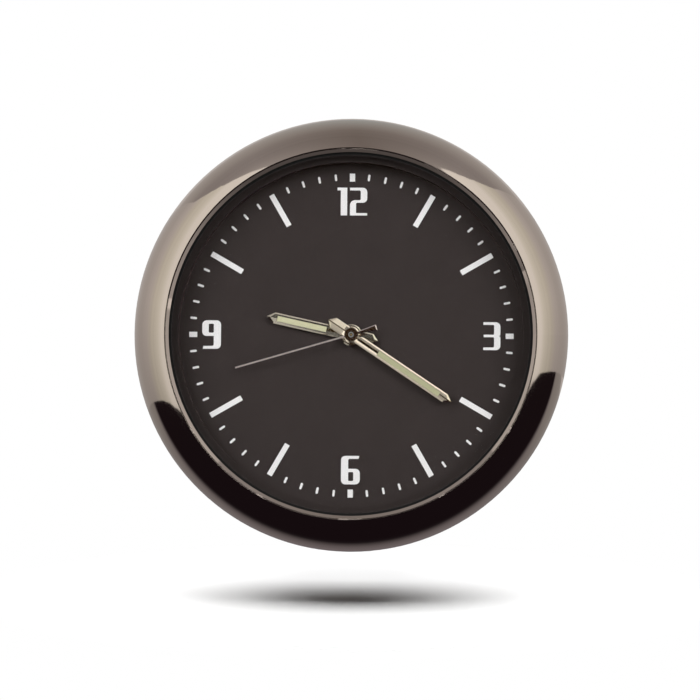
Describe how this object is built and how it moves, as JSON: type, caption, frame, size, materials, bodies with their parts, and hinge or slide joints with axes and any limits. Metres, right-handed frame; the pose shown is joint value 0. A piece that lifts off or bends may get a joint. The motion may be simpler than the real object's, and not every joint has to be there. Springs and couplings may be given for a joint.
{
  "type": "car dashboard clock",
  "caption": "Round stick-on analogue quartz clock with a convex dark metal bezel, flat crystal, dark dial, luminous hands and a side crown behind the bezel.",
  "frame": {"origin": "centre of the foam pad's sticking face", "axes": "+Y out of the back, along the hands' axis; the dial faces -Y; +Z towards twelve o'clock; +X towards three o'clock"},
  "size_m": [0.04, 0.0121, 0.04],
  "materials": {
    "black_nickel": "polished",
    "crystal_glass": "polished",
    "black_rubber": "matte",
    "black_plastic": "matte",
    "dial_paint": "matte paint",
    "white_print": "matte",
    "gilt_hand": "polished",
    "dark_hand": "polished",
    "lume": "matte",
    "steel": "brushed",
    "brass": "satin",
    "white_plastic": "matte",
    "grey_plastic": "matte",
    "copper_wire": "enamelled",
    "green_board": "satin",
    "foam": "matte"
  },
  "bodies": {
    "case": {"bezel": "black_nickel", "drum": "black_nickel", "crystal": "crystal_glass", "crystal_gasket": "black_rubber", "dial_ring": "black_plastic", "dial": "dial_paint", "hour_batons": "white_print", "quarter_blocks": "white_print", "minute_ticks": "white_print", "movement_ring": "white_plastic", "main_plate": "grey_plastic", "train_bridge": "brass", "movement_screws": "steel", "dial_washer": "brass", "stator": "steel", "coil": "copper_wire", "coil_core": "steel", "circuit_board": "green_board", "chip": "black_plastic", "quartz_can": "steel", "battery": "steel", "battery_clamp": "brass", "case_tube": "steel", "back_gasket": "black_rubber", "case_back": "steel", "adhesive_pad": "foam"},
    "minute_arbor": {"minute_hand": "gilt_hand", "minute_lume": "lume", "cannon_pinion": "brass", "center_wheel": "brass"},
    "hour_pipe": {"hour_hand": "gilt_hand", "hour_lume": "lume", "hour_wheel": "brass"},
    "seconds_arbor": {"second_hand": "dark_hand", "second_tube": "steel", "seconds_wheel": "brass"},
    "third_arbor": {"third_wheel": "brass"},
    "intermediate_arbor": {"intermediate_wheel": "brass"},
    "rotor_arbor": {"rotor": "steel"},
    "minute_wheel_body": {"minute_wheel": "brass"},
    "setting_wheel_body": {"setting_wheel": "brass"},
    "clutch": {"clutch_wheel": "steel"},
    "stem_and_crown": {"stem": "steel", "crown": "black_nickel", "crown_gasket": "black_rubber"},
    "lever": {"setting_lever": "steel"}
  },
  "joints": [
    {"name": "minute_spin", "type": "hinge", "parent": "case", "child": "minute_arbor", "pos_m": [0, -0.009, 0], "axis": [0, 1, 0], "continuous": true},
    {"name": "hour_spin", "type": "hinge", "parent": "case", "child": "hour_pipe", "pos_m": [0, -0.009, 0], "axis": [0, 1, 0], "continuous": true},
    {"name": "seconds_spin", "type": "hinge", "parent": "case", "child": "seconds_arbor", "pos_m": [0, -0.009, 0], "axis": [0, 1, 0], "continuous": true},
    {"name": "third_spin", "type": "hinge", "parent": "case", "child": "third_arbor", "pos_m": [-0.00125, -0.0055, 0.00267], "axis": [0, 1, 0], "continuous": true},
    {"name": "intermediate_spin", "type": "hinge", "parent": "case", "child": "intermediate_arbor", "pos_m": [0.00127, -0.0055, -0.00272], "axis": [0, 1, 0], "continuous": true},
    {"name": "rotor_spin", "type": "hinge", "parent": "case", "child": "rotor_arbor", "pos_m": [0.00216, -0.0055, -0.00462], "axis": [0, 1, 0], "continuous": true},
    {"name": "minute_wheel_spin", "type": "hinge", "parent": "case", "child": "minute_wheel_body", "pos_m": [0.0024, -0.0073, 0], "axis": [0, 1, 0], "continuous": true},
    {"name": "setting_wheel_spin", "type": "hinge", "parent": "case", "child": "setting_wheel_body", "pos_m": [0.005, -0.0072, 0], "axis": [0, 1, 0], "continuous": true},
    {"name": "crown_turn", "type": "hinge", "parent": "case", "child": "clutch", "pos_m": [0.0072, -0.00635, 0], "axis": [1, 0, 0], "continuous": true},
    {"name": "crown_pull", "type": "slide", "parent": "clutch", "child": "stem_and_crown", "axis": [1, 0, 0], "range_m": [0, 0.0006]},
    {"name": "lever_turn", "type": "hinge", "parent": "case", "child": "lever", "pos_m": [0.0096, -0.0056, -0.002], "axis": [0, 1, 0], "range_deg": [0, 17.2]}
  ],
  "couplings": [
    {"joint": "hour_spin", "follows": "minute_spin", "ratio": 0.083333},
    {"joint": "seconds_spin", "follows": "minute_spin", "ratio": 60},
    {"joint": "third_spin", "follows": "minute_spin", "ratio": -8},
    {"joint": "intermediate_spin", "follows": "minute_spin", "ratio": -300},
    {"joint": "rotor_spin", "follows": "minute_spin", "ratio": 1800},
    {"joint": "minute_wheel_spin", "follows": "minute_spin", "ratio": -0.33333},
    {"joint": "setting_wheel_spin", "follows": "minute_spin", "ratio": 0.75},
    {"joint": "lever_turn", "follows": "crown_pull", "rad_per_m": 500}
  ]
}
